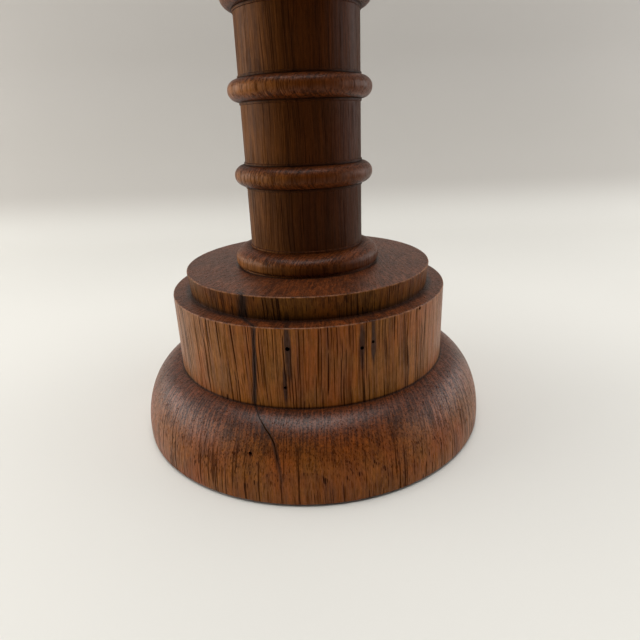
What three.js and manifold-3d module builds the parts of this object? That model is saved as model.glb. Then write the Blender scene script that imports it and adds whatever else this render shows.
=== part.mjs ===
// A turned oak candlestick, 304 mm tall on a 140 mm foot, in millimetres with +Z up.
// The origin is on the table, at the centre of the baize under the base.
//
// It comes apart as it was made: a base block turned from one piece of oak, a beaded stem whose
// round tenon is glued into the base and drawn down by a screw from below, a capital whose spigot
// is glued into the top of the stem, and a loose spun brass cup that lifts out of the capital.
// A baize pad let into the underside hides the screw.

import * as THREE from "three";
import { mergeVertices } from "three/addons/utils/BufferGeometryUtils.js";
import Module from "manifold-3d";

// ---------------------------------------------------------------- driving dimensions

// Base block, measured from the table.
const BASE_RADIUS = 70;
const DRUM_RADIUS = 54;
const STEP_RADIUS = 48;
const STEP_UNDERCUT = 0.8; // the step's wall leans in this much towards its foot
const FLANGE_EDGE_TOP = 2.7; // the flange is upright to here, then curves over to the drum
const FLANGE_TOP = 27;
const DRUM_TOP = 56;
const STEP_TOP = 64.25;
const ARRIS = 0.4; // the flat left where a sharp turned edge is broken with abrasive

// Baize pad, let into the underside and standing proud of the wood.
const PAD_RADIUS = 64;
const PAD_THICKNESS = 1.5;
const PAD_PROUD = 0.5;
const PAD_GAP = 0.3;

// Stem.
const COLUMN_RADIUS = 21.8;
const BEAD_COUNT = 6;
const BEAD_PITCH = 28.85;
const BEAD_HALF_HEIGHT = 3.85;
const BEAD_PROUD = 4.2;
const FOOT_RADIUS = 28.2;
const FOOT_HEIGHT = 7.5;
const FOOT_UPRIGHT = 3.4; // height of the foot's upright side, below its rounded shoulder
const FOOT_TO_BEAD = 33.95; // from the flat of a foot or neck moulding to the nearest bead's centre

// Glued joints. The glue line is the gap around each round tenon.
const GLUE_LINE = 0.15;
const TENON_RADIUS = 13;
const TENON_LENGTH = 42;
const SPIGOT_RADIUS = 11;
const SPIGOT_LENGTH = 26.5;
const BLIND_END = 0.5; // room left past the end of each tenon

// Capital.
const ABACUS_RADIUS = 33;
const ABACUS_HEIGHT = 4.6;
const TRAY_RADIUS = 46;
const FLARE_HEIGHT = 12;
const RIM_HEIGHT = 6;
const RIM_ROUND = 1.5;
const LIP_WIDTH = 2.6;
const TRAY_DEPTH = 3.4;
const BOSS_RADIUS = 19;
const BOSS_PROUD = 1; // the boss stands this far above the tray's rim

// Brass cup.
const CUP_BORE_RADIUS = 11.7;
const CUP_WALL = 0.9;
const CUP_DEPTH = 26.4; // from the flange's seat down to the underside of the cup's floor
const CUP_CLEARANCE = 0.3;
const CUP_FLANGE_RADIUS = 19;
const CUP_ROLL_RADIUS = 1;
const CUP_NECK_HEIGHT = 3.1;

// Screw from below, with its washer in a counterbore.
const COUNTERBORE_RADIUS = 9;
const COUNTERBORE_ROOF = 10.5;
const SCREW_HOLE_RADIUS = 3;
const WASHER_RADIUS = 8;
const WASHER_THICKNESS = 1.5;
const SCREW_HEAD_RADIUS = 4.9;
const SCREW_HEAD_HEIGHT = 3.4;
const SCREW_SHANK_RADIUS = 2.4;
const SCREW_SHANK_TOP = 31;
const SCREW_THREAD_TOP = 56;
const SCREW_TIP = 60;
const THREAD_RADIUS = 2.4;
const THREAD_ROOT = 1.7;
const THREAD_PITCH = 2.5;
const SLOT_WIDTH = 1.2;
const SLOT_DEPTH = 1.6;
const PILOT_GAP = 0.3;

// ---------------------------------------------------------------- places worked out from them

const WOOD_BOTTOM = PAD_PROUD;
const FIRST_BEAD = STEP_TOP + FOOT_TO_BEAD;
const LAST_BEAD = FIRST_BEAD + (BEAD_COUNT - 1) * BEAD_PITCH;
const NECK_TOP = LAST_BEAD + FOOT_TO_BEAD;
const STEM_TOP = NECK_TOP - FOOT_HEIGHT;
const RIM_TOP = NECK_TOP + ABACUS_HEIGHT + FLARE_HEIGHT + RIM_HEIGHT;
const CUP_SEAT = RIM_TOP + BOSS_PROUD;
const SCREW_SEAT = COUNTERBORE_ROOF - WASHER_THICKNESS;

const RIGHT = 0;
const UP = Math.PI / 2;
const DOWN = -Math.PI / 2;
const ARC_STEPS = 4; // three.js draws twice this many straight pieces for each arc

// ---------------------------------------------------------------- materials

const OAK = new THREE.MeshStandardMaterial({ color: 0x7a4a26, roughness: 0.35, metalness: 0 });
const BRASS = new THREE.MeshStandardMaterial({ color: 0xb08a45, roughness: 0.3, metalness: 1 });
const STEEL = new THREE.MeshStandardMaterial({ color: 0x6f6c68, roughness: 0.45, metalness: 1 });
const BAIZE = new THREE.MeshStandardMaterial({ color: 0x24442c, roughness: 1, metalness: 0 });

// ---------------------------------------------------------------- helpers

const wasm = await Module();
wasm.setup();

// Turns an outline of (radius, height) about the Z axis. The outline runs anticlockwise, with
// the material on its left, and either starts and ends on the axis or closes on itself.
function turned(outline, segments) {
  const geometry = new THREE.LatheGeometry(outline.getPoints(ARC_STEPS), segments);
  return geometry.rotateX(Math.PI / 2);
}

function solidOf(geometry) {
  const bare = geometry.clone();
  bare.deleteAttribute("normal");
  bare.deleteAttribute("uv");
  const merged = mergeVertices(bare);
  const vertProperties = new Float32Array(merged.getAttribute("position").array);
  const triVerts = new Uint32Array(merged.index.array);
  return new wasm.Manifold(new wasm.Mesh({ numProp: 3, vertProperties, triVerts }));
}

function geometryOf(solid) {
  const { vertProperties, triVerts } = solid.getMesh();
  const geometry = new THREE.BufferGeometry();
  geometry.setAttribute("position", new THREE.BufferAttribute(vertProperties, 3));
  geometry.setIndex(new THREE.BufferAttribute(triVerts, 1));
  geometry.computeVertexNormals();
  return geometry;
}

function named(name, geometry, material) {
  const mesh = new THREE.Mesh(geometry, material);
  mesh.name = name;
  return mesh;
}

// ---------------------------------------------------------------- base block

// Flange, drum and step are one piece. From above it is bored for the stem's tenon, and from
// below for the screw, its washer and the baize.
function baseBlock() {
  const recessRadius = PAD_RADIUS + PAD_GAP;
  const mortiseRadius = TENON_RADIUS + GLUE_LINE;
  const mortiseFloor = STEP_TOP - TENON_LENGTH - BLIND_END;
  const flangeRise = FLANGE_TOP - FLANGE_EDGE_TOP;
  const outline = new THREE.Path();
  outline.moveTo(recessRadius, WOOD_BOTTOM);
  outline.lineTo(BASE_RADIUS - ARRIS, WOOD_BOTTOM);
  outline.lineTo(BASE_RADIUS, WOOD_BOTTOM + ARRIS);
  outline.lineTo(BASE_RADIUS, FLANGE_EDGE_TOP);
  outline.absellipse(
    DRUM_RADIUS, FLANGE_EDGE_TOP, BASE_RADIUS - DRUM_RADIUS, flangeRise, RIGHT, UP, false);
  outline.lineTo(DRUM_RADIUS, DRUM_TOP - ARRIS);
  outline.lineTo(DRUM_RADIUS - ARRIS, DRUM_TOP);
  outline.lineTo(STEP_RADIUS - STEP_UNDERCUT, DRUM_TOP);
  outline.lineTo(STEP_RADIUS, STEP_TOP - ARRIS);
  outline.lineTo(STEP_RADIUS - ARRIS, STEP_TOP);
  outline.lineTo(mortiseRadius, STEP_TOP);
  outline.lineTo(mortiseRadius, mortiseFloor);
  outline.lineTo(SCREW_HOLE_RADIUS, mortiseFloor);
  outline.lineTo(SCREW_HOLE_RADIUS, COUNTERBORE_ROOF);
  outline.lineTo(COUNTERBORE_RADIUS, COUNTERBORE_ROOF);
  outline.lineTo(COUNTERBORE_RADIUS, PAD_THICKNESS);
  outline.lineTo(recessRadius, PAD_THICKNESS);
  outline.lineTo(recessRadius, WOOD_BOTTOM);
  return turned(outline, 64);
}

// ---------------------------------------------------------------- stem

// A straight column with half-round beads at an even pitch, a foot moulding that sits on the
// step, a tenon below it and a mortise in its top.
function stem() {
  const tenonBottom = STEP_TOP - TENON_LENGTH;
  const pilotRadius = THREAD_RADIUS + PILOT_GAP;
  const pilotEnd = SCREW_TIP + 2;
  const mortiseRadius = SPIGOT_RADIUS + GLUE_LINE;
  const mortiseFloor = STEM_TOP - SPIGOT_LENGTH - BLIND_END;
  const shoulder = STEP_TOP + FOOT_UPRIGHT;
  const outline = new THREE.Path();
  outline.moveTo(0, pilotEnd);
  outline.lineTo(pilotRadius, pilotEnd);
  outline.lineTo(pilotRadius, tenonBottom);
  outline.lineTo(TENON_RADIUS - 1, tenonBottom);
  outline.lineTo(TENON_RADIUS, tenonBottom + 1);
  outline.lineTo(TENON_RADIUS, STEP_TOP);
  outline.lineTo(FOOT_RADIUS - 0.7, STEP_TOP);
  outline.lineTo(FOOT_RADIUS, STEP_TOP + 1.2);
  outline.lineTo(FOOT_RADIUS, shoulder);
  outline.absellipse(
    COLUMN_RADIUS, shoulder, FOOT_RADIUS - COLUMN_RADIUS, FOOT_HEIGHT - FOOT_UPRIGHT,
    RIGHT, UP, false);
  for (let bead = 0; bead < BEAD_COUNT; bead++) {
    const height = FIRST_BEAD + bead * BEAD_PITCH;
    outline.absellipse(COLUMN_RADIUS, height, BEAD_PROUD, BEAD_HALF_HEIGHT, DOWN, UP, false);
  }
  outline.lineTo(COLUMN_RADIUS, STEM_TOP);
  outline.lineTo(mortiseRadius, STEM_TOP);
  outline.lineTo(mortiseRadius, mortiseFloor);
  outline.lineTo(0, mortiseFloor);
  return turned(outline, 40);
}

// ---------------------------------------------------------------- capital

// The neck moulding repeats the foot upside down, a plain band stands over it, and a flare
// opens to a shallow tray that catches wax, with a boss in the middle bored for the cup.
function capital() {
  const spigotBottom = STEM_TOP - SPIGOT_LENGTH;
  const neckRound = FOOT_HEIGHT - FOOT_UPRIGHT;
  const flareBottom = NECK_TOP + ABACUS_HEIGHT;
  const flareTop = flareBottom + FLARE_HEIGHT;
  const lipInside = TRAY_RADIUS - RIM_ROUND - LIP_WIDTH;
  const trayFloor = RIM_TOP - TRAY_DEPTH;
  const boreRadius = CUP_BORE_RADIUS + CUP_WALL + CUP_CLEARANCE;
  const boreFloor = CUP_SEAT - CUP_DEPTH - 0.6;
  const outline = new THREE.Path();
  outline.moveTo(0, spigotBottom);
  outline.lineTo(SPIGOT_RADIUS - 1, spigotBottom);
  outline.lineTo(SPIGOT_RADIUS, spigotBottom + 1);
  outline.lineTo(SPIGOT_RADIUS, STEM_TOP);
  outline.lineTo(COLUMN_RADIUS, STEM_TOP);
  outline.absellipse(
    COLUMN_RADIUS, STEM_TOP + neckRound, FOOT_RADIUS - COLUMN_RADIUS, neckRound,
    DOWN, RIGHT, false);
  outline.lineTo(FOOT_RADIUS, NECK_TOP);
  outline.lineTo(ABACUS_RADIUS - ARRIS, NECK_TOP);
  outline.lineTo(ABACUS_RADIUS, NECK_TOP + ARRIS);
  outline.lineTo(ABACUS_RADIUS, flareBottom);
  outline.absellipse(
    ABACUS_RADIUS, flareTop, TRAY_RADIUS - ABACUS_RADIUS, FLARE_HEIGHT, DOWN, RIGHT, false);
  outline.lineTo(TRAY_RADIUS, RIM_TOP - RIM_ROUND);
  outline.absarc(TRAY_RADIUS - RIM_ROUND, RIM_TOP - RIM_ROUND, RIM_ROUND, RIGHT, UP, false);
  outline.lineTo(lipInside, RIM_TOP);
  outline.lineTo(lipInside - 1.6, trayFloor);
  outline.lineTo(BOSS_RADIUS + 1.6, trayFloor);
  outline.lineTo(BOSS_RADIUS, CUP_SEAT - ARRIS);
  outline.lineTo(BOSS_RADIUS - ARRIS, CUP_SEAT);
  outline.lineTo(boreRadius, CUP_SEAT);
  outline.lineTo(boreRadius, boreFloor);
  outline.lineTo(0, boreFloor);
  return turned(outline, 48);
}

// ---------------------------------------------------------------- brass cup

// Spun from sheet: a plain tube with a closed end, a flange with a rolled edge that rests on
// the boss, and a short neck with a rounded mouth above it.
function candleCup() {
  const outside = CUP_BORE_RADIUS + CUP_WALL;
  const bottom = CUP_SEAT - CUP_DEPTH;
  const floor = bottom + CUP_WALL;
  const flangeTop = CUP_SEAT + CUP_WALL;
  const mouth = flangeTop + CUP_NECK_HEIGHT;
  const lipRadius = 0.7;
  const outline = new THREE.Path();
  outline.moveTo(0, bottom);
  outline.lineTo(outside - 1, bottom);
  outline.lineTo(outside, bottom + 1);
  outline.lineTo(outside, CUP_SEAT);
  outline.lineTo(CUP_FLANGE_RADIUS, CUP_SEAT);
  outline.absarc(CUP_FLANGE_RADIUS, CUP_SEAT + CUP_ROLL_RADIUS, CUP_ROLL_RADIUS, DOWN, UP, false);
  outline.lineTo(CUP_FLANGE_RADIUS - CUP_ROLL_RADIUS, flangeTop);
  outline.lineTo(outside + 0.5, flangeTop);
  outline.lineTo(outside, flangeTop + 0.5);
  outline.lineTo(outside, mouth - 2 * lipRadius);
  outline.absarc(outside - 0.1, mouth - lipRadius, lipRadius, DOWN, UP, false);
  outline.lineTo(CUP_BORE_RADIUS, mouth - lipRadius);
  outline.lineTo(CUP_BORE_RADIUS, floor + 0.8);
  outline.lineTo(CUP_BORE_RADIUS - 0.8, floor);
  outline.lineTo(0, floor);
  return turned(outline, 36);
}

// ---------------------------------------------------------------- screw, washer and baize

// A slotted round-head wood screw, head down. Its thread is drawn as rings.
function fixingScrew() {
  const headBottom = SCREW_SEAT - SCREW_HEAD_HEIGHT;
  const outline = new THREE.Path();
  outline.moveTo(0, headBottom);
  outline.absellipse(
    0, SCREW_SEAT - 0.6, SCREW_HEAD_RADIUS, SCREW_HEAD_HEIGHT - 0.6, DOWN, RIGHT, false);
  outline.lineTo(SCREW_HEAD_RADIUS, SCREW_SEAT);
  outline.lineTo(SCREW_SHANK_RADIUS, SCREW_SEAT);
  outline.lineTo(SCREW_SHANK_RADIUS, SCREW_SHANK_TOP);
  for (let z = SCREW_SHANK_TOP; z < SCREW_THREAD_TOP; z += THREAD_PITCH) {
    outline.lineTo(THREAD_ROOT, z + 0.2 * THREAD_PITCH);
    outline.lineTo(THREAD_ROOT, z + 0.6 * THREAD_PITCH);
    outline.lineTo(THREAD_RADIUS, z + 0.95 * THREAD_PITCH);
  }
  outline.lineTo(THREAD_ROOT, SCREW_THREAD_TOP + 0.5);
  outline.lineTo(0, SCREW_TIP);
  const blade = new THREE.BoxGeometry(3 * SCREW_HEAD_RADIUS, SLOT_WIDTH, 2 * SLOT_DEPTH);
  blade.translate(0, 0, headBottom);
  return geometryOf(solidOf(turned(outline, 16)).subtract(solidOf(blade)));
}

function screwWasher() {
  const hole = SCREW_SHANK_RADIUS + PILOT_GAP;
  const outline = new THREE.Path();
  outline.moveTo(hole, SCREW_SEAT);
  outline.lineTo(WASHER_RADIUS, SCREW_SEAT);
  outline.lineTo(WASHER_RADIUS, COUNTERBORE_ROOF);
  outline.lineTo(hole, COUNTERBORE_ROOF);
  outline.lineTo(hole, SCREW_SEAT);
  return turned(outline, 32);
}

function baizePad() {
  const outline = new THREE.Path();
  outline.moveTo(0, 0);
  outline.lineTo(PAD_RADIUS, 0);
  outline.lineTo(PAD_RADIUS, PAD_THICKNESS);
  outline.lineTo(0, PAD_THICKNESS);
  return turned(outline, 64);
}

// ---------------------------------------------------------------- assembly

const candlestick = new THREE.Group();
candlestick.add(
  named("base_block", baseBlock(), OAK),
  named("stem", stem(), OAK),
  named("capital", capital(), OAK),
  named("candle_cup", candleCup(), BRASS),
  named("fixing_screw", fixingScrew(), STEEL),
  named("screw_washer", screwWasher(), STEEL),
  named("baize_pad", baizePad(), BAIZE),
);

export default candlestick;
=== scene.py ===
"""A turned oak candlestick on a sweep of pale paper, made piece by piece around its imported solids.

Sizes are in millimetres, measured outwards from the turning axis and upwards from the table.
MM turns them into the metres of the frame.
"""

import math

import bmesh
import bpy
from mathutils import Matrix, Vector


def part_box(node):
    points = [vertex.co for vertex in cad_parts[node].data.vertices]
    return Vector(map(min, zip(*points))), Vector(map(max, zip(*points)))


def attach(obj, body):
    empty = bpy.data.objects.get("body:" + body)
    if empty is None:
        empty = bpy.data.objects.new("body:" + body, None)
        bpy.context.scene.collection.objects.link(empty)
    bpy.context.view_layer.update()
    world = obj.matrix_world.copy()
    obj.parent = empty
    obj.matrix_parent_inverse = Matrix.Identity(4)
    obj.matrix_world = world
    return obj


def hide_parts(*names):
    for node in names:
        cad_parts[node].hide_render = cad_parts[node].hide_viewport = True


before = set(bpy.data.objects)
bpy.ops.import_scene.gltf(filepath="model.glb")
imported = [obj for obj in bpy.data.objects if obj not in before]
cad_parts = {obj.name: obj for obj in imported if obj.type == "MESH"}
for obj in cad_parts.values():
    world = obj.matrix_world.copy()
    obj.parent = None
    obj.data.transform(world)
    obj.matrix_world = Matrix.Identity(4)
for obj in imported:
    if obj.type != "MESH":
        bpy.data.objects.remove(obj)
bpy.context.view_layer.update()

MM = 0.001

# ---------------------------------------------------------------- camera
# A short lens close to the base and a little above it, looking down at the foot.
# It is held slightly off level and aimed slightly to the right of the axis.

CAMERA_PLACE = Vector((0, -200.9, 116.4))
CAMERA_PITCH = math.radians(-21.47)
CAMERA_YAW = math.radians(1.15)
CAMERA_ROLL = math.radians(-2.19)
LENS_LENGTH = 28.56
SENSOR_WIDTH = 36
NEAREST_SEEN = 10

lens = bpy.data.cameras.new("camera")
lens.sensor_width = SENSOR_WIDTH
lens.lens = LENS_LENGTH
lens.clip_start = NEAREST_SEEN * MM
camera = bpy.data.objects.new("camera", lens)
camera.matrix_world = (
    Matrix.Translation(CAMERA_PLACE * MM)
    @ Matrix.Rotation(-CAMERA_YAW, 4, "Z")
    @ Matrix.Rotation(math.pi / 2 + CAMERA_PITCH, 4, "X")
    @ Matrix.Rotation(CAMERA_ROLL, 4, "Z")
)
bpy.context.scene.collection.objects.link(camera)
bpy.context.scene.camera = camera
bpy.context.scene.view_settings.view_transform = "Standard"

# ---------------------------------------------------------------- paper sweep
# One wide sheet of pale paper, flat under the candlestick and rolled up behind it in a curve,
# so that there is no line where the floor ends. Its colour is painted greyer further back and
# higher up, as shade where the light falls off.

SWEEP_FRONT = -1200
SWEEP_HALF_WIDTH = 1400
SWEEP_BEND_START = 330
SWEEP_BEND_RADIUS = 200
SWEEP_TOP = 430
SWEEP_BEND_STEPS = 32
# Where painted shade turns the paper greyer: along the floor, at the foot of the bend, and up the
# back.
FURTHER_BACK = (-50, 350)
INTO_BEND = (0, 45)
UP_BACK = (80, 200)
# The angle in degrees past which an edge of a piece is shaded crisp.
SHARP_EDGE = 32


def rgb(red, green, blue):
    """A colour as the eye sees it, 0 to 255, as the linear numbers that a shader works in."""
    shares = (red / 255, green / 255, blue / 255)
    return tuple(
        share / 12.92 if share <= 0.04045 else ((share + 0.055) / 1.055) ** 2.4
        for share in shares
    ) + (1.0,)


class Shade:
    """What one node of a material gives: a number, a colour or a place.

    Sums on it add Math nodes beside it, and node() adds any other.
    """

    def __init__(self, socket):
        self.socket = socket

    def node(self, kind, settings, sockets, output=0):
        tree = self.socket.id_data
        made = tree.nodes.new("ShaderNode" + kind)
        for setting, value in settings.items():
            setattr(made, setting, value)
        for socket, value in sockets.items():
            if isinstance(value, Shade):
                tree.links.new(value.socket, made.inputs[socket])
            else:
                made.inputs[socket].default_value = value
        return Shade(made.outputs[output])

    def math(self, operation, first, second=0.0):
        return self.node("Math", {"operation": operation}, {0: first, 1: second})

    def __add__(self, other):
        return self.math("ADD", self, other)

    def __sub__(self, other):
        return self.math("SUBTRACT", self, other)

    def __rsub__(self, other):
        return self.math("SUBTRACT", other, self)

    def __mul__(self, other):
        return self.math("MULTIPLY", self, other)

    def __truediv__(self, other):
        return self.math("DIVIDE", self, other)

    def __pow__(self, power):
        return self.math("POWER", self, power)

    __radd__ = __add__
    __rmul__ = __mul__

    def size(self):
        return self.math("ABSOLUTE", self)

    def over(self, other):
        """The larger of two numbers."""
        return self.math("MAXIMUM", self, other)

    def rise(self, low, high):
        """0 up to low and 1 from high on, with a soft change between; high may be the lower."""
        return self.node(
            "MapRange", {"interpolation_type": "SMOOTHSTEP"}, {0: self, 1: low, 2: high})

    def times(self, across, deep, up):
        """A place, stretched along each axis."""
        return self.node(
            "VectorMath", {"operation": "MULTIPLY"}, {0: self, 1: (across, deep, up)})

    def moved(self, by):
        """A place, moved by another."""
        return self.node("VectorMath", {"operation": "ADD"}, {0: self, 1: by})

    def length(self):
        return self.node("VectorMath", {"operation": "LENGTH"}, {0: self}, 1)

    def part(self, axis):
        """One coordinate of a place, by its number: 0, 1 or 2."""
        return self.node("SeparateXYZ", {}, {0: self}, axis)

    def noise(self, detail=2.0, roughness=0.5, output=0):
        """Soft random patches about one unit across; output 1 is three of them, as a place."""
        sockets = {"Vector": self, "Scale": 1.0, "Detail": detail, "Roughness": roughness}
        return self.node("TexNoise", {}, sockets, output)

    def cells(self):
        """Scattered points about one unit apart: the distance to the nearest, and its own number."""
        distance = self.node("TexVoronoi", {}, {"Vector": self, "Scale": 1.0})
        return distance, Shade(distance.socket.node.outputs["Color"]).part(0)

    def blend(self, under, top):
        """A colour that goes from one to another as this number goes from 0 to 1."""
        return self.node("Mix", {"data_type": "RGBA"}, {0: self, 6: under, 7: top}, 2)

    def stain(self, dye, share=1.0):
        """This colour, multiplied by a dye as far as the share says."""
        settings = {"data_type": "RGBA", "blend_type": "MULTIPLY"}
        return self.node("Mix", settings, {0: share, 6: self, 7: dye}, 2)

    def tint(self, colour):
        """A colour, made darker or lighter by this number."""
        grey = self.node("CombineColor", {}, {0: self, 1: self, 2: self})
        return grey.stain(colour)


def new_finish(name):
    """A new material: itself, the place on the surface in millimetres, and its facing."""
    material = bpy.data.materials.new(name)
    material.use_nodes = True
    material.node_tree.nodes.clear()
    spot = material.node_tree.nodes.new("ShaderNodeTexCoord")
    place = Shade(spot.outputs["Object"]).times(1 / MM, 1 / MM, 1 / MM)
    return material, place, Shade(spot.outputs["Normal"])


def surface(material, colour, roughness, relief, depth, wax=None, **fixed):
    """Ends a material: what varies over it, its relief's depth, and what is the same all over."""
    tree = material.node_tree
    shader = tree.nodes.new("ShaderNodeBsdfPrincipled")
    out = tree.nodes.new("ShaderNodeOutputMaterial")
    tree.links.new(shader.outputs[0], out.inputs["Surface"])
    tree.links.new(colour.socket, shader.inputs["Base Color"])
    tree.links.new(roughness.socket, shader.inputs["Roughness"])
    if wax:
        tree.links.new(wax.socket, shader.inputs["Coat Weight"])
    bump = relief.node("Bump", {}, {"Strength": 1.0, "Distance": depth * MM, "Height": relief})
    tree.links.new(bump.socket, shader.inputs["Normal"])
    for name, value in fixed.items():
        shader.inputs[name.replace("_", " ")].default_value = value
    return material


def new_piece(name, bm, material, sharp=SHARP_EDGE):
    """A piece from a bmesh, shaded smooth except over edges sharper than so many degrees."""
    mesh = bpy.data.meshes.new(name)
    bm.to_mesh(mesh)
    bm.free()
    mesh.materials.append(material)
    mesh.shade_smooth()
    mesh.set_sharp_from_angle(angle=math.radians(sharp))
    piece = bpy.data.objects.new(name, mesh)
    bpy.context.scene.collection.objects.link(piece)
    return piece


def arc(centre, radii, start, end, steps):
    """Points along part of an ellipse, between two angles in degrees."""
    points = []
    for step in range(steps + 1):
        angle = math.radians(start + (end - start) * step / steps)
        across = centre[0] + radii[0] * math.cos(angle)
        up = centre[1] + radii[1] * math.sin(angle)
        points.append((across, up))
    return points


PAPER = rgb(217, 215, 209)
PAPER_SHADED_BEHIND = rgb(203, 201, 195)
PAPER_SHADED_IN_BEND = rgb(173, 169, 163)
PAPER_SHADED_UP_BACK = rgb(180, 176, 171)

paper, place, _ = new_finish("pale paper")
fibre = place.times(1.4, 1.4, 1.4).noise(4.0)
clouding = place.times(0.006, 0.006, 0.006).noise(1.0)
colour = place.part(1).rise(*FURTHER_BACK).blend(PAPER, PAPER_SHADED_BEHIND)
colour = place.part(2).rise(*INTO_BEND).blend(colour, PAPER_SHADED_IN_BEND)
colour = place.part(2).rise(*UP_BACK).blend(colour, PAPER_SHADED_UP_BACK)
surface(paper, (0.985 + 0.03 * clouding).tint(colour), 0.72 + 0.1 * fibre, fibre, 0.02)

bm = bmesh.new()
bend_centre = (SWEEP_BEND_START, SWEEP_BEND_RADIUS)
bend = arc(bend_centre, (SWEEP_BEND_RADIUS, SWEEP_BEND_RADIUS), -90, 0, SWEEP_BEND_STEPS)
line = [(SWEEP_FRONT, 0), *bend, (SWEEP_BEND_START + SWEEP_BEND_RADIUS, SWEEP_TOP)]
edge = [bm.verts.new((-SWEEP_HALF_WIDTH * MM, deep * MM, up * MM)) for deep, up in line]
side = [bm.edges.new(pair) for pair in zip(edge, edge[1:])]
made = bmesh.ops.extrude_edge_only(bm, edges=side)
far = [part for part in made["geom"] if isinstance(part, bmesh.types.BMVert)]
bmesh.ops.translate(bm, verts=far, vec=(2 * SWEEP_HALF_WIDTH * MM, 0, 0))
bmesh.ops.recalc_face_normals(bm, faces=bm.faces)
sweep = new_piece("paper_sweep", bm, paper, sharp=80)

# ---------------------------------------------------------------- lights
# A wide soft light overhead, weaker ones from both sides, and a room that is pale at the
# sides and the back and dim in front of the candlestick.


def soft_light(name, place, aim, size, watts, colour):
    """An oblong light of the given size, at one place and aimed at another, itself unseen."""
    light = bpy.data.lights.new(name, "AREA")
    light.shape = "RECTANGLE"
    light.size, light.size_y = size[0] * MM, size[1] * MM
    light.energy = watts
    light.color = colour
    lamp = bpy.data.objects.new(name, light)
    away = Vector(place) - Vector(aim)
    turn = away.to_track_quat("Z", "Y").to_matrix().to_4x4()
    lamp.matrix_world = Matrix.Translation(Vector(place) * MM) @ turn
    lamp.visible_camera = False
    bpy.context.scene.collection.objects.link(lamp)


soft_light("overhead", (-40, -20, 1500), (0, 0, 0), (1100, 1000), 18.9, (1.0, 0.998, 0.99))
soft_light("left", (-800, 30, 260), (0, 0, 60), (900, 460), 4.8, (1.0, 0.985, 0.955))
soft_light("right", (800, 80, 240), (0, 0, 60), (900, 460), 3.4, (0.99, 0.995, 1.0))

ROOM_FRONT = 0.03
ROOM_REST = 0.37

room = bpy.data.worlds.new("pale room")
room.use_nodes = True
walls = room.node_tree.nodes["Background"]
walls.inputs["Color"].default_value = (1.0, 0.98, 0.95, 1)
# In a world, Generated is the direction looked in: its second part is -1 in front, 1 behind.
looking = Shade(room.node_tree.nodes.new("ShaderNodeTexCoord").outputs["Generated"])
brightness = ROOM_FRONT + ROOM_REST * looking.part(1).rise(-0.6, 0.1)
room.node_tree.links.new(brightness.socket, walls.inputs["Strength"])
bpy.context.scene.world = room

# ---------------------------------------------------------------- base block
# Flange, drum and step, turned from one block of stained and waxed oak with its grain upright.
# It has dried out and split down its front, and beetles have bored a few holes there.

base_low, base_high = (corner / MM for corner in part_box("base_block"))
FOOT_RADIUS = base_high.x
STEP_TOP = base_high.z
WOOD_BOTTOM = base_low.z
DRUM_RADIUS = 54
DRUM_TOP = 56
STEP_RADIUS = 48
STEP_UNDERCUT = 0.8
FLANGE_EDGE_TOP = 2.7
FLANGE_TOP = 27
FOOT_ROUND = 0.7
STEM_SEAT_RADIUS = 28
WORN_ARRIS = 0.4
TURNED_STEPS = 192
SAME_POINT = 0.0001

LIGHT_OAK = rgb(148, 90, 24)
AMBER_OAK = rgb(130, 66, 7)
DARK_OAK = rgb(66, 30, 8)
END_GRAIN = rgb(84, 39, 8)
PORE = rgb(34, 11, 1)
# Painted shade, with some dirt, for the corners.
DIRT_AND_SHADE = rgb(24, 11, 5)
# Pale edges: partly wear, partly painted highlight.
WEAR_AND_HIGHLIGHT = rgb(168, 112, 70)
CRACK_STAIN = rgb(24, 20, 19)
FLANGE_STAIN = rgb(243, 235, 228)

# The oak's vessels and ray lines: how far apart they lie, and how long they are.
FINE_SPACING = 0.42
FINE_LENGTH = 24
WIDE_SPACING = 0.6
WIDE_LENGTH = 60
RAYS_PER_RADIAN = 230
RAY_DEPTH = 14
RAY_LENGTH = 30

CRACK_START = (-23.6, -39.7)
CRACK_BACK = 1.5
CRACK_HEADING = (0.462, -0.887)
CRACK_LENGTH = 35
CRACK_LEAN = 0.078
CRACK_BOTTOM = 9
CRACK_ASIDE = 0.2
CRACK_DRIFT = 0.016
# Its one bend: where it begins, is widest and ends along the crack, and how wide it is.
CRACK_BEND = (11, 19, 27)
CRACK_BEND_WIDTH = 1.1
CRACK_HALF_WIDTH = 0.1
CRACK_SWELL = 0.11
CRACK_CUTS = 15
HOLE_DEPTH = 5
HOLE_SIDES = 14
# Each beetle hole: degrees round from the front, height, diameter.
BEETLE_HOLES = [
    (-8.3, 48.9, 1.6),
    (-9.9, 34.9, 1.1),
    (17.6, 47.2, 1.4),
    (21.9, 48.6, 1.2),
    (-18.7, 17, 1.5),
]
# A nick in the drum's rim, given and cut as they are.
RIM_NICK = (44.2, 55.3, 1.4)


def crack_stray(height, bend):
    """How far the crack lies from its straight line, at a height and a share of its one bend."""
    return CRACK_DRIFT * (DRUM_TOP - height) - CRACK_ASIDE - CRACK_BEND_WIDTH * bend


def eased(value, low, high):
    """0 up to low and 1 from high on, with a soft change between; high may be the lower."""
    share = min(1, max(0, (value - low) / (high - low)))
    return share * share * (3 - 2 * share)


def straight(start, end, steps):
    """Points from start to end, without the end itself."""
    across, up = end[0] - start[0], end[1] - start[1]
    return [
        (start[0] + across * step / steps, start[1] + up * step / steps)
        for step in range(steps)
    ]


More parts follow.
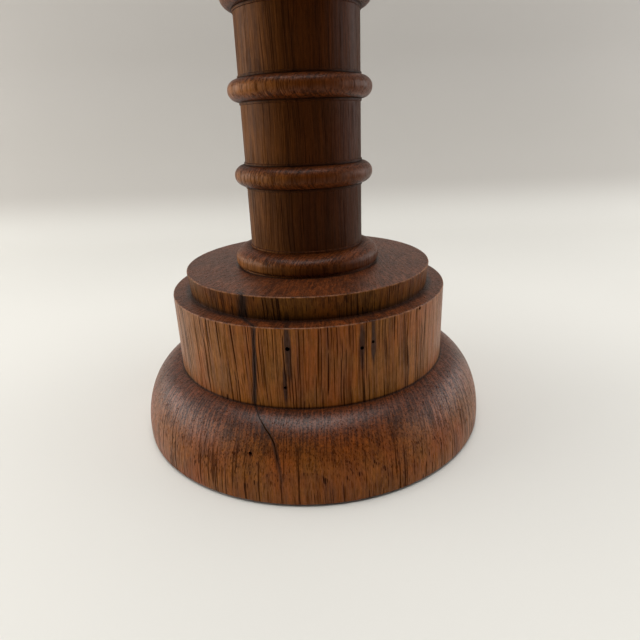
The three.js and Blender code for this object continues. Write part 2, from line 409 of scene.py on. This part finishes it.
def turned(profile):
    """Spins an outline of (radius, height) round the axis, on which it ends unless it is a ring."""
    bm = bmesh.new()
    points = [bm.verts.new((radius * MM, 0, height * MM)) for radius, height in profile]
    lines = [bm.edges.new(pair) for pair in zip(points, points[1:])]
    if profile[0][0] > 0 or profile[-1][0] > 0:
        lines.append(bm.edges.new((points[-1], points[0])))
    bmesh.ops.spin(
        bm, geom=points + lines, cent=(0, 0, 0), axis=(0, 0, 1), angle=math.tau,
        steps=TURNED_STEPS, use_merge=True)
    bmesh.ops.remove_doubles(bm, verts=bm.verts, dist=SAME_POINT * MM)
    bmesh.ops.recalc_face_normals(bm, faces=bm.faces)
    return bm


def carved(piece, cutter):
    """Cuts one piece's shape out of another, and throws the cutter away."""
    cut = piece.modifiers.new("cut", "BOOLEAN")
    cut.solver = "EXACT"
    cut.operation = "DIFFERENCE"
    cut.object = cutter
    graph = bpy.context.evaluated_depsgraph_get()
    mesh = bpy.data.meshes.new_from_object(piece.evaluated_get(graph))
    piece.modifiers.clear()
    old = piece.data
    piece.data = mesh
    mesh.set_sharp_from_angle(angle=math.radians(SHARP_EDGE))
    bpy.data.meshes.remove(old)
    bpy.data.objects.remove(cutter)


def ring_distance(place, radius, height):
    """How far a place is, in millimetres, from a circle round the turning axis."""
    across = place.times(1, 1, 0).length() - radius
    up = place.part(2) - height
    return (across * across + up * up) ** 0.5


def dirty_and_shaded(colour, place, strength, corners):
    """A colour darkened in corners turned at a radius and a height, over a reach: painted shade,
    with some dirt.
    """
    for radius, height, reach in corners:
        dirt_and_shade = ring_distance(place, radius, height).rise(reach, 0.2)
        colour = (strength * dirt_and_shade).blend(colour, DIRT_AND_SHADE)
    return colour


def pores(grain, across, along, widest):
    """Cut vessels, no two as wide: thin dark dashes on an upright face and dots on a level one."""
    distance, number = grain.times(1 / across, 1 / across, 1 / along).cells()
    return (number * widest - distance).rise(-0.03, 0.06)


def oak(place, facing, heart, ring_width, figure, light, amber, dark, end_grain):
    """Stained ring-porous oak, solid through and through, with its grain nearly upright.

    heart is where the middle of the tree was, ring_width its yearly growth and figure how
    strongly its grain shows. Returns the colour, the roughness, the relief and the wax on it.
    """
    # Yearly rings round the heart, wandering a little, each with a band of open early wood.
    wander = place.times(0.03, 0.03, 0.012).noise(3.0, output=1).moved((-0.5, -0.5, -0.5))
    grain = place.moved(wander.times(6, 6, 0))
    from_heart = grain.moved((-heart[0], -heart[1], 0)).times(1, 1, 0)
    uneven = place.times(0.06, 0.06, 0.008).noise(3.0)
    growth = from_heart.length() / ring_width + 1.8 * uneven
    early = growth.math("FRACT", growth).rise(0.55, 0.1)

    # Fine fibres, broad flames along them, specks of cut grain, and soft clouding of the stain.
    fibres = grain.times(2.4, 2.4, 0.06).noise(3.0, 0.7).rise(0.25, 0.75)
    flame = grain.times(0.5, 0.5, 0.016).noise(3.0, 0.6)
    streaky = 0.2 + 1.5 * flame
    speck = place.times(1.3, 1.3, 0.35).noise(4.0, 0.8).rise(0.3, 0.7)
    clouding = place.times(0.06, 0.06, 0.05).noise(3.0, 0.55).rise(0.3, 0.7)
    level = facing.part(2).size().rise(0.1, 0.9)

    # Rays run out from the heart. They show as short lines on a face that looks along them.
    round_heart = from_heart.part(0).math("ARCTAN2", from_heart.part(0), from_heart.part(1))
    plank = growth.node("CombineXYZ", {}, {
        0: round_heart * RAYS_PER_RADIAN,
        1: from_heart.length() / RAY_DEPTH,
        2: place.part(2) / RAY_LENGTH,
    })
    across_rays = facing.part(0) * from_heart.part(1) - facing.part(1) * from_heart.part(0)
    shows = (across_rays / from_heart.length()).size().rise(0.9, 0.5)
    hatch = plank.times(0.8, 2, 1).noise(2.0, 0.6).rise(0.35, 0.65)
    rays = pores(plank, 1, 1, 0.52 * streaky) * shows * (1 - 0.9 * level)

    # Vessels: fine ones everywhere, and wide ones, of which early wood has the widest.
    fine = pores(grain, FINE_SPACING, FINE_LENGTH, 0.5)
    wide = pores(grain, WIDE_SPACING, WIDE_LENGTH, (0.26 + 0.16 * early) * streaky)

    # The stain is clouded on the ground, dark in the flames and darkest in the holes.
    shade = 0.15 * early + 1.6 * (flame - 0.43)
    ground = clouding.blend(light, amber)
    colour = level.blend(shade.blend(ground, dark), end_grain)
    mottle = (0.3 + 1.3 * level) * (speck - 0.5)
    mottle = mottle + 0.6 * figure * (fibres - 0.5) + 0.4 * (clouding - 0.5)
    mottle = mottle + (0.1 + 1.1 * level) * shows * (hatch - 0.5)
    colour = (1 + mottle).over(0.4).tint(colour)
    holes = figure * (0.35 * fine).over((0.95 - 0.75 * level) * wide).over(0.8 * rays)
    colour = holes.blend(colour, PORE)

    # Wax lies thickest on level faces and shines most at a low angle. The holes have none.
    roughness = 0.5 + 0.2 * fibres
    sunk = (0.6 * fine).over(wide).over(rays)
    relief = 1 - sunk + 0.3 * fibres + (0.3 + 0.7 * level) * speck + 0.4 * hatch
    low_angle = place.node("LayerWeight", {}, {"Blend": 0.5}, 1).rise(0.2, 0.75)
    wax = 0.2 + 0.3 * speck + 0.2 * hatch + 0.45 * level.over(0.8 * low_angle)
    wax = wax * (1 - (0.8 * fine).over(wide).over(rays))
    return colour, roughness, relief, wax


base_oak, place, facing = new_finish("oak of the base")
colour, roughness, relief, wax = oak(
    place, facing, (16, 78), 2.9, 1.0, LIGHT_OAK, AMBER_OAK, DARK_OAK, END_GRAIN)

# A dark stain has soaked in along the crack, less of it on the flange.
bent = place.moved((-CRACK_START[0], -CRACK_START[1], 0))
lean = CRACK_LEAN * (place.part(2) - DRUM_TOP)
sideways = (bent.part(0) - lean) * -CRACK_HEADING[1] + bent.part(1) * CRACK_HEADING[0]
along = (bent.part(0) - lean) * CRACK_HEADING[0] + bent.part(1) * CRACK_HEADING[1]
ragged = place.times(0.5, 0.5, 0.14).noise(2.0)
bend = along.rise(CRACK_BEND[0], CRACK_BEND[1]) * along.rise(CRACK_BEND[2], CRACK_BEND[1])
from_crack = (sideways - crack_stray(place.part(2), bend)).size() + 0.7 * (ragged - 0.5)
stain_width = 0.8 + 0.9 * place.part(2).rise(DRUM_TOP - 1, DRUM_TOP + 1)
stained = from_crack.rise(stain_width, 0.3)
stained = stained * along.rise(-3.5, 1) * along.rise(CRACK_LENGTH + 2, CRACK_LENGTH - 4)
stained = stained * (0.55 + 0.25 * place.part(2).rise(FLANGE_TOP - 2, FLANGE_TOP + 2))
stained = stained * place.part(2).rise(CRACK_BOTTOM - 5, CRACK_BOTTOM + 2)
colour = stained.blend(colour, CRACK_STAIN)

# Each beetle hole has a long dark streak above and below it.
for degrees, height, width in BEETLE_HOLES:
    angle = math.radians(degrees)
    front = (math.sin(angle) * DRUM_RADIUS, -math.cos(angle) * DRUM_RADIUS)
    from_hole = place.moved((-front[0], -front[1], -height)).times(1, 0.1, 0.1).length()
    streak = (from_hole + 1.2 * (ragged - 0.5)).rise(width, 0.4 * width)
    colour = (0.85 * streak).blend(colour, PORE)

# Painted shade, with some dirt, darkens the corners. The step's wall is painted darker, as shade,
# and has little wax.
colour = dirty_and_shaded(colour, place, 0.75, [
    (DRUM_RADIUS, FLANGE_TOP, 0.9),
    (STEP_RADIUS, DRUM_TOP, 2.2),
    (STEM_SEAT_RADIUS, STEP_TOP, 1.2),
])
step_wall = place.part(2).rise(DRUM_TOP - 0.5, DRUM_TOP + 0.5) * facing.part(2).size().rise(0.9, 0.3)
colour = (1 - 0.5 * step_wall).tint(colour)
wax = wax * (1 - 0.7 * step_wall)
# The flange has kept a little more of its red stain.
on_flange = place.part(2).rise(FLANGE_TOP + 0.6, FLANGE_TOP - 0.6)
colour = colour.stain(FLANGE_STAIN, on_flange)
# The edges of the step and the drum are painted pale: partly wear, partly a painted highlight along
# the arris.
for radius, height in [(STEP_RADIUS, STEP_TOP), (DRUM_RADIUS, DRUM_TOP)]:
    worn_and_lit = ring_distance(place, radius, height).rise(0.55, 0.2) * ragged.rise(0.35, 0.65)
    colour = (0.5 * worn_and_lit).blend(colour, WEAR_AND_HIGHLIGHT)
surface(
    base_oak, colour, roughness, relief, 0.1, wax,
    Specular_IOR_Level=0.03, Coat_Roughness=0.41, Coat_IOR=1.44)

PAD_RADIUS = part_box("baize_pad")[1].x / MM
PAD_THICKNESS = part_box("baize_pad")[1].z / MM
RECESS_RADIUS = PAD_RADIUS + 0.3
TENON_RADIUS = 13
TENON_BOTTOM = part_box("stem")[0].z / MM
COUNTERBORE_RADIUS = 9
COUNTERBORE_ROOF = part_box("screw_washer")[1].z / MM
SCREW_HOLE_RADIUS = 3
GLUE_LINE = 0.15
MORTISE_FLOOR = TENON_BOTTOM - 0.5

flange_centre = (DRUM_RADIUS, FLANGE_EDGE_TOP)
flange_radii = (FOOT_RADIUS - DRUM_RADIUS, FLANGE_TOP - FLANGE_EDGE_TOP)
foot_centre = (FOOT_RADIUS - FOOT_ROUND, WOOD_BOTTOM + FOOT_ROUND)
bm = turned([
    (RECESS_RADIUS, WOOD_BOTTOM),
    *arc(foot_centre, (FOOT_ROUND, FOOT_ROUND), -90, 0, 4),
    *arc(flange_centre, flange_radii, 0, 89, 26),
    *straight((DRUM_RADIUS, FLANGE_TOP), (DRUM_RADIUS, DRUM_TOP - WORN_ARRIS), 14),
    *arc((DRUM_RADIUS - WORN_ARRIS, DRUM_TOP - WORN_ARRIS), (WORN_ARRIS, WORN_ARRIS), 0, 90, 4),
    *straight((DRUM_RADIUS - 1, DRUM_TOP), (STEP_RADIUS - STEP_UNDERCUT, DRUM_TOP), 3),
    *straight((STEP_RADIUS - STEP_UNDERCUT, DRUM_TOP), (STEP_RADIUS, STEP_TOP - WORN_ARRIS), 4),
    *arc((STEP_RADIUS - WORN_ARRIS, STEP_TOP - WORN_ARRIS), (WORN_ARRIS, WORN_ARRIS), 0, 90, 4),
    *straight((STEP_RADIUS - 1, STEP_TOP), (TENON_RADIUS + GLUE_LINE, STEP_TOP), 10),
    (TENON_RADIUS + GLUE_LINE, STEP_TOP),
    (TENON_RADIUS + GLUE_LINE, MORTISE_FLOOR),
    (SCREW_HOLE_RADIUS, MORTISE_FLOOR),
    (SCREW_HOLE_RADIUS, COUNTERBORE_ROOF),
    (COUNTERBORE_RADIUS, COUNTERBORE_ROOF),
    (COUNTERBORE_RADIUS, PAD_THICKNESS),
    (RECESS_RADIUS, PAD_THICKNESS),
])
base_block = new_piece("oak_base_block", bm, base_oak)

# The crack's own shape is a thin upright blade that wavers a little. It is widest in the
# flange and closes at both ends.
bm = bmesh.new()
bmesh.ops.create_cube(bm, size=1)
bmesh.ops.subdivide_edges(bm, edges=bm.edges, cuts=CRACK_CUTS, use_grid_fill=True)
for vert in bm.verts:
    share = vert.co.x + 0.5
    height = CRACK_BOTTOM + (vert.co.z + 0.5) * (STEP_TOP + 2 - CRACK_BOTTOM)
    run = share * CRACK_LENGTH - CRACK_BACK
    swell = CRACK_HALF_WIDTH + CRACK_SWELL * eased(run, 18, 24)
    half = swell * min(1, (1 - share) * 5, share * 8 + 0.1)
    bend = eased(run, CRACK_BEND[0], CRACK_BEND[1]) * eased(run, CRACK_BEND[2], CRACK_BEND[1])
    waver = 0.08 * math.sin(0.7 * height) + 0.07 * math.sin(1.9 * run)
    aside = crack_stray(height, bend) + waver + 2 * vert.co.y * max(half, 0.02)
    vert.co.x = CRACK_START[0] + run * CRACK_HEADING[0] - aside * CRACK_HEADING[1]
    vert.co.x += CRACK_LEAN * (height - DRUM_TOP)
    vert.co.y = CRACK_START[1] + run * CRACK_HEADING[1] + aside * CRACK_HEADING[0]
    vert.co.z = height
bmesh.ops.scale(bm, vec=(MM, MM, MM), verts=bm.verts)
bmesh.ops.recalc_face_normals(bm, faces=bm.faces)
carved(base_block, new_piece("crack", bm, base_oak))

# Each beetle hole is a short round bore, straight in, and so is the nick.
for degrees, height, width in [*BEETLE_HOLES, RIM_NICK]:
    rise = max(0, 1 - ((height - FLANGE_EDGE_TOP) / (FLANGE_TOP - FLANGE_EDGE_TOP)) ** 2)
    out = DRUM_RADIUS + (FOOT_RADIUS - DRUM_RADIUS) * math.sqrt(rise)
    bm = bmesh.new()
    bmesh.ops.create_cone(
        bm, cap_ends=True, segments=HOLE_SIDES, radius1=0.4 * width * MM,
        radius2=0.52 * width * MM, depth=2 * HOLE_DEPTH * MM)
    inwards = Matrix.Rotation(math.pi / 2, 3, "X")
    bmesh.ops.rotate(bm, verts=bm.verts, cent=(0, 0, 0), matrix=inwards)
    bmesh.ops.translate(bm, verts=bm.verts, vec=(0, -out * MM, height * MM))
    turn = Matrix.Rotation(math.radians(degrees), 3, "Z")
    bmesh.ops.rotate(bm, verts=bm.verts, cent=(0, 0, 0), matrix=turn)
    carved(base_block, new_piece("beetle_hole", bm, base_oak))

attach(base_block, "candlestick")
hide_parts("base_block")

# ---------------------------------------------------------------- stem
# Foot moulding, column and half-round beads, turned from one length of the same oak. Its round
# tenon is glued into the base, and its top is bored for the capital.

stem_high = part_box("stem")[1] / MM
STEM_TOP = stem_high.z
STEM_FOOT_RADIUS = stem_high.x
COLUMN_RADIUS = 21.8
BEAD_COUNT = 6
BEAD_PITCH = 28.85
BEAD_HALF_HEIGHT = 3.85
BEAD_PROUD = 4.2
FOOT_TO_BEAD = 33.95
FILLET_PROUD = 0.35
FILLET_HEIGHT = 0.8
FILLET_SLOPE = 0.15
QUIRK_PROUD = 0.1
QUIRK_GAP = 0.12
# The foot moulding is a rounded edge under a swell that runs up to the column.
MOULDING_HEIGHT = 7.5
MOULDING_EDGE = (1.8, 1.7)
MOULDING_EDGE_RADIUS = STEM_FOOT_RADIUS - MOULDING_EDGE[0]
MOULDING_EDGE_UP = 1.9
MOULDING_SWELL = (STEM_FOOT_RADIUS - COLUMN_RADIUS, 4.3)
MOULDING_SWELL_UP = 3.2
SPIGOT_RADIUS = 11
SPIGOT_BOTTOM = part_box("capital")[0].z / MM
PILOT_RADIUS = 2.7
PILOT_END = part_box("fixing_screw")[1].z / MM + 2
SPIGOT_ROOM = 0.5


def beaded(column, height, half_height, proud):
    """The outline of a half-round bead on a column, with a thin fillet above and below it."""
    fillet = column + FILLET_PROUD
    quirk = half_height + QUIRK_GAP
    rim = half_height + FILLET_HEIGHT
    bead = arc((column, height), (proud, half_height), -88, 88, 16)
    edges = [
        (column, rim + FILLET_SLOPE),
        (fillet, rim),
        (fillet, quirk),
        (column + QUIRK_PROUD, quirk),
    ]
    below = [(radius, height - away) for radius, away in edges]
    above = [(radius, height + away) for radius, away in reversed(edges)]
    return below + bead + above


# The stem's oak is painted much darker than the base's: partly darker wood, partly painted shade
# like that on the column's front. The capital shares these colours, and the first of them is a
# painted lit side.
STEM_PAINTED_LIT = rgb(102, 60, 20)
STEM_LIGHT = rgb(70, 34, 7)
STEM_AMBER = rgb(58, 24, 1)
STEM_DARK = rgb(28, 9, 1)
STEM_END = rgb(62, 28, 7)

stem_oak, place, facing = new_finish("oak of the stem")
# Its left side is painted lighter, as light falling on it from the left.
lit_from_left = place.part(0).rise(2, -20)
light = lit_from_left.blend(STEM_LIGHT, STEM_PAINTED_LIT)
amber = lit_from_left.blend(STEM_AMBER, STEM_PAINTED_LIT)
colour, roughness, relief, wax = oak(
    place, facing, (48, 40), 2.7, 0.7, light, amber, STEM_DARK, STEM_END)

# The beads are painted lighter than the column between them, partly as wear from handling and partly
# as painted highlight, and are waxed more.
proud = place.times(1, 1, 0).length().rise(COLUMN_RADIUS, COLUMN_RADIUS + BEAD_PROUD)
colour = (1 + 0.8 * proud).tint(colour)
wax = wax * (0.4 + 0.6 * proud)
bead_heights = [STEP_TOP + FOOT_TO_BEAD + bead * BEAD_PITCH for bead in range(BEAD_COUNT)]
# Painted shade, with some dirt, darkens the corners above and below each bead.
colour = dirty_and_shaded(colour, place, 0.7, [
    (COLUMN_RADIUS, height + side * BEAD_HALF_HEIGHT, 1.1)
    for height in bead_heights
    for side in (-1, 1)
])
surface(
    stem_oak, colour, roughness, relief, 0.07, wax,
    Specular_IOR_Level=0.02, Coat_Roughness=0.38, Coat_IOR=1.28)

beads = []
for height in bead_heights:
    beads += beaded(COLUMN_RADIUS, height, BEAD_HALF_HEIGHT, BEAD_PROUD)
bm = turned([
    (0, PILOT_END),
    (PILOT_RADIUS, PILOT_END),
    (PILOT_RADIUS, TENON_BOTTOM),
    (TENON_RADIUS - 1, TENON_BOTTOM),
    (TENON_RADIUS, TENON_BOTTOM + 1),
    (TENON_RADIUS, STEP_TOP),
    (STEM_FOOT_RADIUS - 1, STEP_TOP),
    *arc((MOULDING_EDGE_RADIUS, STEP_TOP + MOULDING_EDGE_UP), MOULDING_EDGE, -65, 0, 6),
    *arc((COLUMN_RADIUS, STEP_TOP + MOULDING_SWELL_UP), MOULDING_SWELL, 0, 82, 14),
    (COLUMN_RADIUS + FILLET_PROUD, STEP_TOP + MOULDING_HEIGHT),
    (COLUMN_RADIUS + FILLET_PROUD - 0.05, STEP_TOP + MOULDING_HEIGHT + 0.6),
    (COLUMN_RADIUS, STEP_TOP + MOULDING_HEIGHT + FILLET_HEIGHT),
    *beads,
    (COLUMN_RADIUS, STEM_TOP),
    (SPIGOT_RADIUS + GLUE_LINE, STEM_TOP),
    (SPIGOT_RADIUS + GLUE_LINE, SPIGOT_BOTTOM - SPIGOT_ROOM),
    (0, SPIGOT_BOTTOM - SPIGOT_ROOM),
])
stem = new_piece("oak_stem", bm, stem_oak)
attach(stem, "candlestick")
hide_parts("stem")

# ---------------------------------------------------------------- capital
# Neck moulding, band, flare and wax tray, turned from one piece of the same oak. Its spigot is
# glued into the stem, and the boss in the tray is bored for the cup.

capital_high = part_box("capital")[1] / MM
BOSS_TOP = capital_high.z
TRAY_RADIUS = capital_high.x
RIM_TOP = BOSS_TOP - 1
NECK_TOP = STEM_TOP + MOULDING_HEIGHT
BAND_RADIUS = 33
BAND_HEIGHT = 4.6
FLARE_BOTTOM = NECK_TOP + BAND_HEIGHT
FLARE_HEIGHT = 12
FLARE_TOP = FLARE_BOTTOM + FLARE_HEIGHT
TRAY_DEPTH = 3.4
TRAY_FLOOR = RIM_TOP - TRAY_DEPTH
LIP_WIDTH = 4.1
LIP_INSIDE = TRAY_RADIUS - LIP_WIDTH
BOSS_RADIUS = 19
BORE_RADIUS = 12.9
BORE_FLOOR = 273
RIM_ROUND = 1.5
LIP_ROUND = 0.5
TRAY_ROUND = 1.6

capital_oak, place, facing = new_finish("oak of the capital")
colour, roughness, relief, wax = oak(
    place, facing, (-70, 62), 3.0, 0.7, STEM_LIGHT, STEM_AMBER, STEM_DARK, STEM_END)
# Painted shade, with some dirt, darkens the corners of the tray, the neck and the band.
colour = dirty_and_shaded(colour, place, 0.7, [
    (BOSS_RADIUS + 1, TRAY_FLOOR, 1.8),
    (LIP_INSIDE - 1, TRAY_FLOOR, 1.6),
    (STEM_FOOT_RADIUS, NECK_TOP, 1.2),
    (BAND_RADIUS, FLARE_BOTTOM, 1.2),
])
ragged = place.times(0.5, 0.5, 0.14).noise(2.0)
# The tray's rim is painted pale: partly wear, partly a painted highlight.
worn_and_lit = ring_distance(place, TRAY_RADIUS - 1, RIM_TOP - 1).rise(1.8, 0.6) * ragged.rise(0.3, 0.6)
colour = (0.35 * worn_and_lit).blend(colour, WEAR_AND_HIGHLIGHT)
surface(
    capital_oak, colour, roughness, relief, 0.07, wax,
    Specular_IOR_Level=0.02, Coat_Roughness=0.38, Coat_IOR=1.28)

flare_radii = (TRAY_RADIUS - BAND_RADIUS, FLARE_HEIGHT)
tray_low = TRAY_FLOOR + TRAY_ROUND
bm = turned([
    (0, SPIGOT_BOTTOM),
    (SPIGOT_RADIUS - 1, SPIGOT_BOTTOM),
    (SPIGOT_RADIUS, SPIGOT_BOTTOM + 1),
    (SPIGOT_RADIUS, STEM_TOP),
    (COLUMN_RADIUS, STEM_TOP),
    *arc((COLUMN_RADIUS, NECK_TOP - MOULDING_SWELL_UP), MOULDING_SWELL, -88, 0, 14),
    *arc((MOULDING_EDGE_RADIUS, NECK_TOP - MOULDING_EDGE_UP), MOULDING_EDGE, 0, 65, 6),
    (STEM_FOOT_RADIUS - 1, NECK_TOP),
    *arc((BAND_RADIUS - WORN_ARRIS, NECK_TOP + WORN_ARRIS), (WORN_ARRIS, WORN_ARRIS), -90, 0, 4),
    (BAND_RADIUS, FLARE_BOTTOM),
    *arc((BAND_RADIUS, FLARE_TOP), flare_radii, -88, 0, 22),
    *arc((TRAY_RADIUS - RIM_ROUND, RIM_TOP - RIM_ROUND), (RIM_ROUND, RIM_ROUND), 0, 90, 8),
    *arc((LIP_INSIDE + LIP_ROUND, RIM_TOP - LIP_ROUND), (LIP_ROUND, LIP_ROUND), 90, 180, 4),
    *arc((LIP_INSIDE - TRAY_ROUND, tray_low), (TRAY_ROUND, TRAY_ROUND), 0, -90, 6),
    *arc((BOSS_RADIUS + TRAY_ROUND, tray_low), (TRAY_ROUND, TRAY_ROUND), -90, -180, 6),
    *arc((BOSS_RADIUS - WORN_ARRIS, BOSS_TOP - WORN_ARRIS), (WORN_ARRIS, WORN_ARRIS), 0, 90, 4),
    (BORE_RADIUS, BOSS_TOP),
    (BORE_RADIUS, BORE_FLOOR),
    (0, BORE_FLOOR),
])
capital = new_piece("oak_capital", bm, capital_oak)
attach(capital, "candlestick")
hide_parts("capital")

# ---------------------------------------------------------------- candle cup
# Spun from thin sheet brass: a tube with a closed end, a flange with a rolled edge that rests on
# the boss, and a rounded mouth. It stands loose, and has gone dull where wax is cleaned off.

cup_low, cup_high = (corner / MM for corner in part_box("candle_cup"))
CUP_WALL = 0.9
CUP_BORE_RADIUS = 11.7
CUP_OUTSIDE = CUP_BORE_RADIUS + CUP_WALL
CUP_ROLL = 1
CUP_FLANGE_RADIUS = cup_high.x - CUP_ROLL
CUP_FILLET = 0.7
CUP_LIP = 0.7
CUP_MOUTH_ROUND = 0.6
CUP_FLOOR_ROUND = 0.8
CUP_END_ROUND = 1
RINGS_PER_MM = 5
BRASS = rgb(196, 156, 92)
TARNISH = rgb(112, 78, 46)

brass, place, _ = new_finish("spun brass")
spun = place.times(1, 1, 0).length()
rings = spun.node("CombineXYZ", {}, {0: spun, 1: place.part(2), 2: 0.0})
lines = rings.times(RINGS_PER_MM, RINGS_PER_MM, 0).noise(3.0, 0.7)
patches = place.times(0.12, 0.12, 0.16).noise(4.0, 0.6)
dull = patches.rise(0.42, 0.68)
flange_face = BOSS_TOP + CUP_WALL
seam = ring_distance(place, CUP_OUTSIDE, flange_face).rise(1.6, 0.3)
colour = (0.7 * dull).over(0.85 * seam).blend(BRASS, TARNISH)
surface(brass, colour, 0.24 + 0.22 * dull + 0.06 * lines, lines, 0.012, Metallic=1.0)

cup_floor = cup_low.z + CUP_WALL
end_centre = (CUP_OUTSIDE - CUP_END_ROUND, cup_low.z + CUP_END_ROUND)
fillet_centre = (CUP_OUTSIDE + CUP_FILLET, flange_face + CUP_FILLET)
mouth_centre = (CUP_BORE_RADIUS + CUP_MOUTH_ROUND, cup_high.z - CUP_MOUTH_ROUND)
floor_centre = (CUP_BORE_RADIUS - CUP_FLOOR_ROUND, cup_floor + CUP_FLOOR_ROUND)
bm = turned([
    (0, cup_low.z),
    *arc(end_centre, (CUP_END_ROUND, CUP_END_ROUND), -90, 0, 5),
    (CUP_OUTSIDE, BOSS_TOP),
    *arc((CUP_FLANGE_RADIUS, BOSS_TOP + CUP_ROLL), (CUP_ROLL, CUP_ROLL), -90, 90, 12),
    *arc((CUP_FLANGE_RADIUS - CUP_ROLL, flange_face + 0.4), (0.6, 0.4), 0, -90, 3),
    *arc(fillet_centre, (CUP_FILLET, CUP_FILLET), -90, -180, 5),
    (CUP_OUTSIDE, cup_high.z - 2 * CUP_LIP),
    *arc((CUP_OUTSIDE - 0.1, cup_high.z - CUP_LIP), (CUP_LIP, CUP_LIP), -80, 90, 8),
    *arc(mouth_centre, (CUP_MOUTH_ROUND, CUP_MOUTH_ROUND), 90, 180, 4),
    *arc(floor_centre, (CUP_FLOOR_ROUND, CUP_FLOOR_ROUND), 0, -90, 4),
    (0, cup_floor),
])
cup = new_piece("brass_candle_cup", bm, brass)
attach(cup, "cup")
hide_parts("candle_cup")

# ---------------------------------------------------------------- screw and washer
# A slotted steel screw with its washer, hidden in the base. Their solids are right as they are
# and get a dull steel.

STEEL = rgb(150, 147, 142)
RUST = rgb(92, 58, 38)

steel, place, _ = new_finish("dull steel")
speckle = place.times(0.9, 0.9, 0.9).noise(5.0, 0.65)
rust = speckle.rise(0.55, 0.75)
colour = (0.6 * rust).blend(STEEL, RUST)
surface(steel, colour, 0.38 + 0.3 * rust, speckle, 0.02, Metallic=0.9)
for node in ("fixing_screw", "screw_washer"):
    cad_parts[node].data.materials.clear()
    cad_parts[node].data.materials.append(steel)

# ---------------------------------------------------------------- baize pad
# A disc cut from green woollen baize and glued into the underside, so that the foot does not
# scratch the table.

BAIZE_GREEN = rgb(38, 74, 48)
PAD_EDGE = 0.5
PAD_TOP_EDGE = 0.3

baize, place, _ = new_finish("green baize")
nap = place.times(3.2, 3.2, 3.2).noise(5.0, 0.7)
matting = place.times(0.35, 0.35, 0.35).noise(3.0, 0.6)
colour = (0.7 + 0.35 * nap + 0.25 * matting).tint(BAIZE_GREEN)
surface(baize, colour, 0.9 + 0.1 * nap, nap, 0.25, Sheen_Weight=0.3, Sheen_Roughness=0.6)

pad_top = (PAD_RADIUS - PAD_TOP_EDGE, PAD_THICKNESS - PAD_TOP_EDGE)
bm = turned([
    (0, 0),
    *straight((PAD_RADIUS / 8, 0), (PAD_RADIUS - PAD_EDGE, 0), 7),
    *arc((PAD_RADIUS - PAD_EDGE, PAD_EDGE), (PAD_EDGE, PAD_EDGE), -90, 0, 4),
    *arc(pad_top, (PAD_TOP_EDGE, PAD_TOP_EDGE), 0, 90, 3),
    *straight((PAD_RADIUS - 1, PAD_THICKNESS), (0, PAD_THICKNESS), 7),
    (0, PAD_THICKNESS),
])
pad = new_piece("baize_disc", bm, baize)
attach(pad, "candlestick")
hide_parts("baize_pad")
